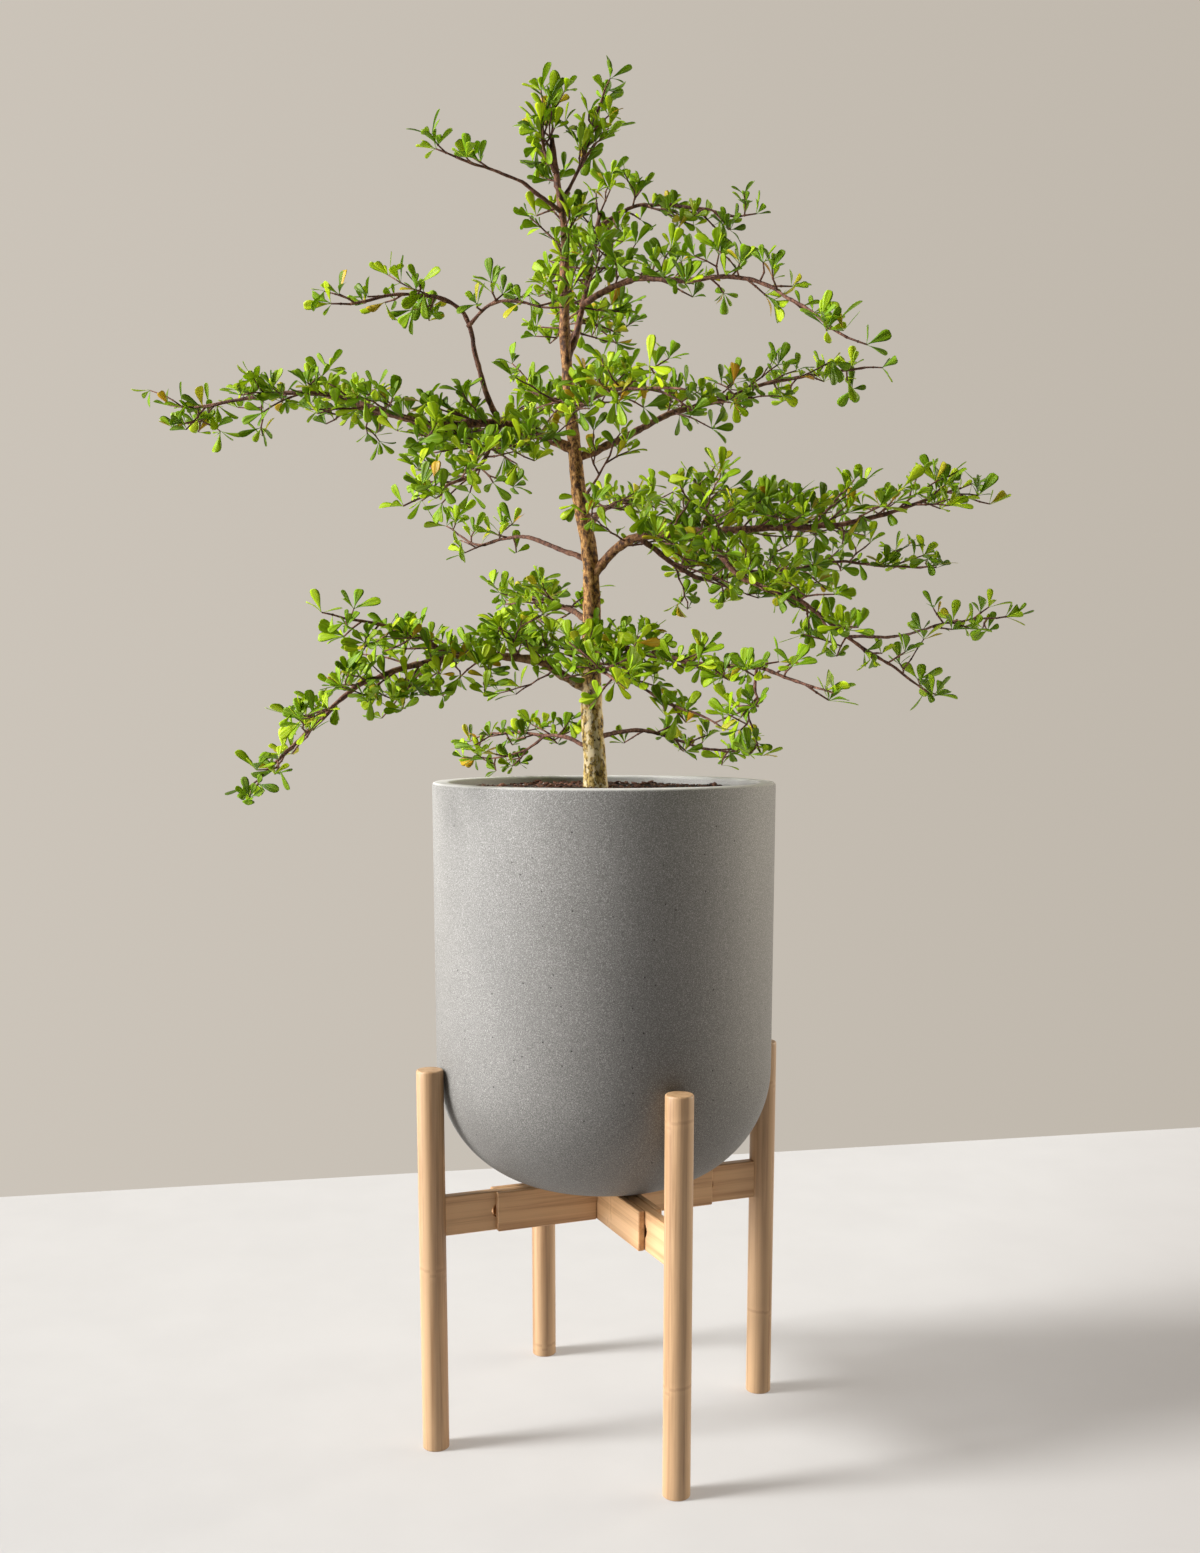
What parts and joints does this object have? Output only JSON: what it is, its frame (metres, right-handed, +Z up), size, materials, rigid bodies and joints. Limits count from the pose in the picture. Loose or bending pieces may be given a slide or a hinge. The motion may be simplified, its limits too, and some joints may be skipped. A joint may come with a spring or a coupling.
{
  "type": "potted bonsai tree on adjustable plant stand",
  "caption": "Small-leaved tiered bonsai tree in a round-bottomed stoneware pot, held by a four-legged bamboo stand whose legs slide out on slotted arms.",
  "frame": {"origin": "on the floor under the pot's axis", "axes": "+Z up; the pictured front faces -Y, with +X to its right"},
  "size_m": [0.7665, 0.4612, 1.1906],
  "materials": {
    "bark": "rough bark",
    "leaves": "satin leaf",
    "soil": "loose potting mix",
    "stoneware": "matte speckled",
    "plug_rubber": "matte",
    "bamboo": "satin oiled"
  },
  "bodies": {
    "root": {"bar_front_back_dowel_a": "bamboo", "bar_front_back_dowel_b": "bamboo", "bar_front_back_plate_far": "bamboo", "bar_front_back_plate_near": "bamboo", "bar_left_right_dowel_a": "bamboo", "bar_left_right_dowel_b": "bamboo", "bar_left_right_plate_far": "bamboo", "bar_left_right_plate_near": "bamboo", "drain_plug": "plug_rubber", "foliage_back_high": "leaves", "foliage_back_low": "leaves", "foliage_back_mid": "leaves", "foliage_big_right": "leaves", "foliage_centre_back": "leaves", "foliage_centre_front": "leaves", "foliage_crown": "leaves", "foliage_droop_tip": "leaves", "foliage_drooping": "leaves", "foliage_front": "leaves", "foliage_hanging": "leaves", "foliage_left_bottom": "leaves", "foliage_left_fork": "leaves", "foliage_left_low": "leaves", "foliage_left_mid": "leaves", "foliage_right_bottom": "leaves", "foliage_right_low": "leaves", "foliage_right_lower": "leaves", "foliage_right_mid": "leaves", "foliage_small_left": "leaves", "foliage_top_left": "leaves", "foliage_top_right": "leaves", "foliage_under_right": "leaves", "foliage_upper_left": "leaves", "foliage_upper_right": "leaves", "planter_pot": "stoneware", "potting_soil": "soil", "trunk_and_branches": "bark"},
    "slide_leg_right": {"arm_right": "bamboo", "leg_right": "bamboo"},
    "slide_leg_back": {"arm_back": "bamboo", "leg_back": "bamboo"},
    "slide_leg_left": {"arm_left": "bamboo", "leg_left": "bamboo"},
    "slide_leg_front": {"arm_front": "bamboo", "leg_front": "bamboo"}
  },
  "joints": [
    {"name": "slide_right", "type": "slide", "parent": "root", "child": "slide_leg_right", "axis": [0.9272, 0.3746, 0], "range_m": [0, 0.025]},
    {"name": "slide_back", "type": "slide", "parent": "root", "child": "slide_leg_back", "axis": [-0.3746, 0.9272, 0], "range_m": [0, 0.025]},
    {"name": "slide_left", "type": "slide", "parent": "root", "child": "slide_leg_left", "axis": [-0.9272, -0.3746, 0], "range_m": [0, 0.025]},
    {"name": "slide_front", "type": "slide", "parent": "root", "child": "slide_leg_front", "axis": [0.3746, -0.9272, 0], "range_m": [0, 0.025]}
  ]
}
